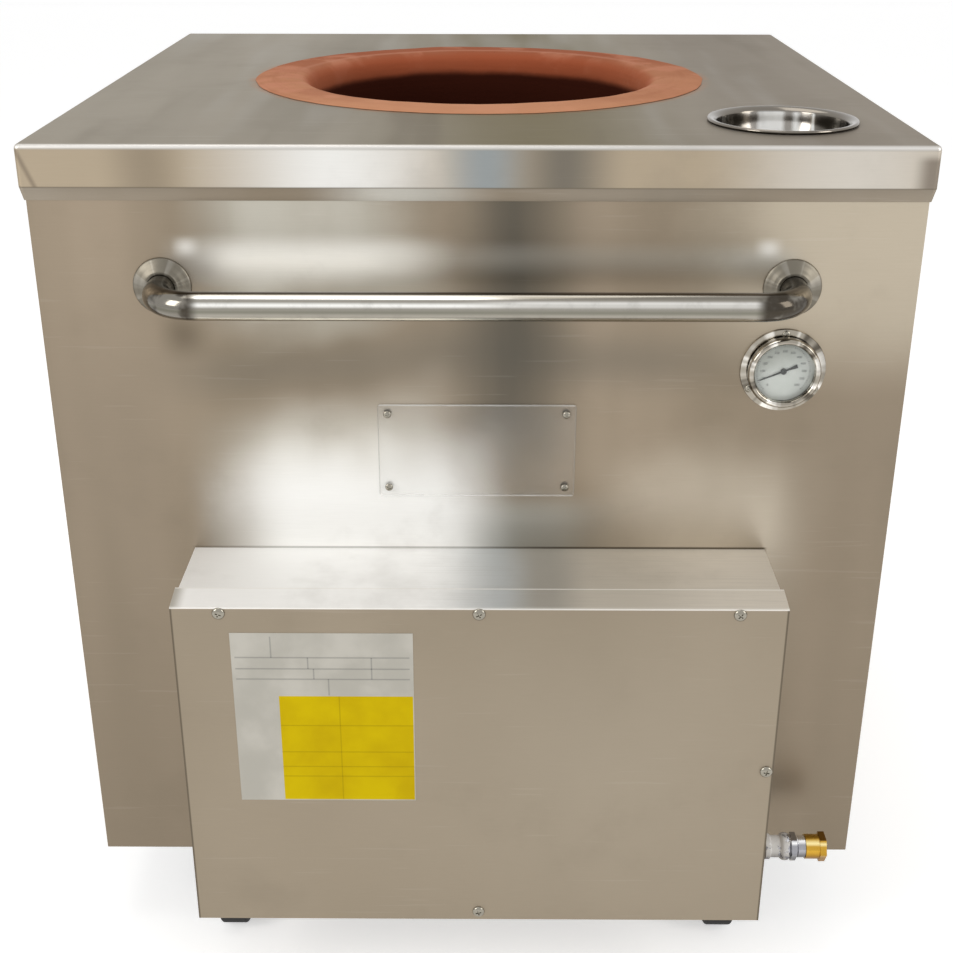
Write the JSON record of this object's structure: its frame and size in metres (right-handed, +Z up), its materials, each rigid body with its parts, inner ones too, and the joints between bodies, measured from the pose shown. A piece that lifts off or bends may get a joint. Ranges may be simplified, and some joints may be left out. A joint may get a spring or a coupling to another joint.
{
  "type": "clay tandoor oven",
  "caption": "Square stainless cabinet on casters round a gas-fired clay pot, with a towel bar, thermometer, dip bowl in the lid and a gas control box in front.",
  "frame": {"origin": "on the floor, under the middle of the oven's outline with its front gas box", "axes": "+Z up, +X to the right of someone facing the gas box, +Y from the front to the back"},
  "size_m": [0.864, 0.985, 0.919],
  "materials": {
    "satin_steel": "satin stainless sheet",
    "galvanised_steel": "galvanised, dull",
    "frame_steel": "black primer",
    "clay": "unglazed terracotta",
    "rim_clay": "unglazed terracotta, smeared by hand",
    "fire_brick": "cast refractory",
    "ceramic_fibre": "ceramic fibre blanket",
    "loose_insulation": "expanded mineral granules",
    "cast_iron": "as cast",
    "burner_steel": "heat-darkened steel",
    "brass": "turned brass",
    "valve_casting": "die cast, matt",
    "black_plastic": "matt black",
    "red_plastic": "glossy red",
    "pilot_aluminium": "drawn tube",
    "copper_lead": "copper sheath",
    "chromed_fitting": "plated, with sealing compound",
    "label_paper": "coated sticker, blank",
    "clear_acrylic": "clear, polished edges",
    "screw_steel": "bright stainless",
    "gauge_chrome": "polished",
    "dial_white": "white enamel with black scale",
    "needle_black": "black",
    "gauge_glass": "clear",
    "polished_steel": "polished stainless",
    "zinc_steel": "bright zinc plate",
    "wheel_rubber": "black"
  },
  "bodies": {
    "cabinet": {"top_cover": "satin_steel", "front_panel": "satin_steel", "left_panel": "satin_steel", "right_panel": "satin_steel", "back_panel": "satin_steel", "gas_box_hood": "satin_steel", "gas_box_cover": "satin_steel", "floor_pan": "galvanised_steel", "supply_pipe": "galvanised_steel", "burner_pipe": "galvanised_steel", "corner_posts": "frame_steel", "base_rails": "frame_steel", "caster_rails": "frame_steel", "clay_pot": "clay", "rim_collar": "rim_clay", "pot_seat": "fire_brick", "fibre_blanket": "ceramic_fibre", "loose_fill": "loose_insulation", "burner_head": "cast_iron", "flame_deflector": "cast_iron", "mixer_tube": "burner_steel", "pilot_burner": "burner_steel", "gas_orifice": "brass", "burner_valve": "brass", "brass_adapter": "brass", "safety_valve": "valve_casting", "pilot_tube": "pilot_aluminium", "thermocouple": "copper_lead", "inlet_union": "chromed_fitting", "blank_label": "label_paper", "nameplate": "clear_acrylic", "cover_screws": "screw_steel", "nameplate_screws": "screw_steel", "gauge_screws": "screw_steel", "gauge_case": "gauge_chrome", "gauge_bezel": "gauge_chrome", "gauge_dial": "dial_white", "gauge_glass": "gauge_glass", "handle_bar": "polished_steel", "handle_flanges": "polished_steel", "caster_plates": "zinc_steel", "caster_bolts": "zinc_steel"},
    "needle": {"gauge_needle": "needle_black"},
    "bowl": {"dip_bowl": "polished_steel"},
    "knob": {"valve_knob": "black_plastic"},
    "button": {"reset_button": "red_plastic"},
    "shutter": {"air_shutter": "burner_steel"},
    "caster_front_left": {"caster_fork_front_left": "zinc_steel", "caster_axle_front_left": "zinc_steel"},
    "wheel_front_left": {"caster_wheel_front_left": "wheel_rubber"},
    "caster_front_right": {"caster_fork_front_right": "zinc_steel", "caster_axle_front_right": "zinc_steel"},
    "wheel_front_right": {"caster_wheel_front_right": "wheel_rubber"},
    "caster_back_left": {"caster_fork_back_left": "zinc_steel", "caster_axle_back_left": "zinc_steel"},
    "wheel_back_left": {"caster_wheel_back_left": "wheel_rubber"},
    "caster_back_right": {"caster_fork_back_right": "zinc_steel", "caster_axle_back_right": "zinc_steel"},
    "wheel_back_right": {"caster_wheel_back_right": "wheel_rubber"}
  },
  "joints": [
    {"name": "front_left_swivel", "type": "hinge", "parent": "cabinet", "child": "caster_front_left", "pos_m": [-0.283, -0.3195, 0.106], "axis": [0, 0, 1], "continuous": true},
    {"name": "front_left_roll", "type": "hinge", "parent": "caster_front_left", "child": "wheel_front_left", "pos_m": [-0.283, -0.3575, 0.038], "axis": [1, 0, 0], "continuous": true},
    {"name": "front_right_swivel", "type": "hinge", "parent": "cabinet", "child": "caster_front_right", "pos_m": [0.283, -0.3195, 0.106], "axis": [0, 0, 1], "continuous": true},
    {"name": "front_right_roll", "type": "hinge", "parent": "caster_front_right", "child": "wheel_front_right", "pos_m": [0.283, -0.3575, 0.038], "axis": [1, 0, 0], "continuous": true},
    {"name": "back_left_swivel", "type": "hinge", "parent": "cabinet", "child": "caster_back_left", "pos_m": [-0.283, 0.4405, 0.106], "axis": [0, 0, 1], "continuous": true},
    {"name": "back_left_roll", "type": "hinge", "parent": "caster_back_left", "child": "wheel_back_left", "pos_m": [-0.283, 0.4025, 0.038], "axis": [1, 0, 0], "continuous": true},
    {"name": "back_right_swivel", "type": "hinge", "parent": "cabinet", "child": "caster_back_right", "pos_m": [0.283, 0.4405, 0.106], "axis": [0, 0, 1], "continuous": true},
    {"name": "back_right_roll", "type": "hinge", "parent": "caster_back_right", "child": "wheel_back_right", "pos_m": [0.283, 0.4025, 0.038], "axis": [1, 0, 0], "continuous": true},
    {"name": "needle_sweep", "type": "hinge", "parent": "cabinet", "child": "needle", "pos_m": [0.303, -0.3705, 0.693], "axis": [0, 1, 0], "range_deg": [-22, 247]},
    {"name": "bowl_lift", "type": "slide", "parent": "cabinet", "child": "bowl", "axis": [0, 0, 1], "range_m": [0, 0.1]},
    {"name": "burner_knob", "type": "hinge", "parent": "cabinet", "child": "knob", "pos_m": [0.065, -0.4315, 0.162], "axis": [0, -1, 0], "range_deg": [0, 90]},
    {"name": "reset_press", "type": "slide", "parent": "cabinet", "child": "button", "axis": [0, 1, 0], "range_m": [0, 0.006], "stiffness_N_per_m": 400},
    {"name": "shutter_turn", "type": "hinge", "parent": "cabinet", "child": "shutter", "pos_m": [0, -0.3845, 0.162], "axis": [0, 1, 0], "range_deg": [0, 60]}
  ]
}
